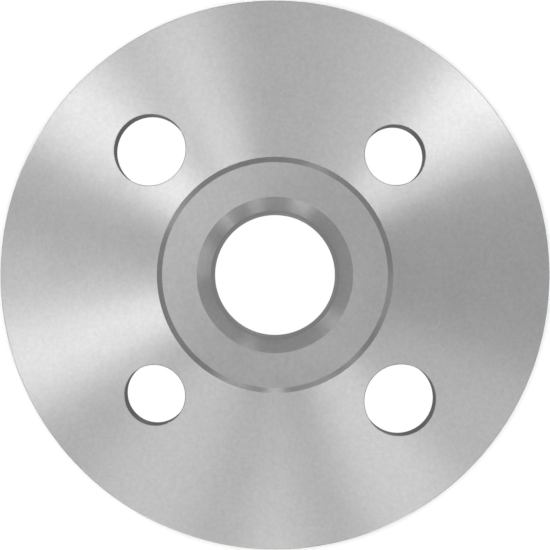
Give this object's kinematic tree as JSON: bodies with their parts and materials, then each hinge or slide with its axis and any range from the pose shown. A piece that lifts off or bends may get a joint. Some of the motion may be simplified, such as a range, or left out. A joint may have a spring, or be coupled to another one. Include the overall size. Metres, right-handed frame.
{
  "type": "hub flange",
  "caption": "Round flange with a coned front face, a raised chamfered hub with a countersunk through bore, and clearance bolt holes on its diagonals.",
  "frame": {"origin": "centre of the flat back face, on the bore's axis", "axes": "+Z along the bore's axis, from the back face to the hub's nose; the large bolt holes lie on the -X+Y and +X-Y diagonal, the small ones on the +X+Y and -X-Y diagonal"},
  "size_m": [0.1, 0.1, 0.025],
  "materials": {
    "turned_disc": "fine turned, satin",
    "turned_hub": "fine turned, satin"
  },
  "bodies": {
    "root": {"flange_plate": "turned_disc", "hub": "turned_hub"}
  },
  "joints": []
}
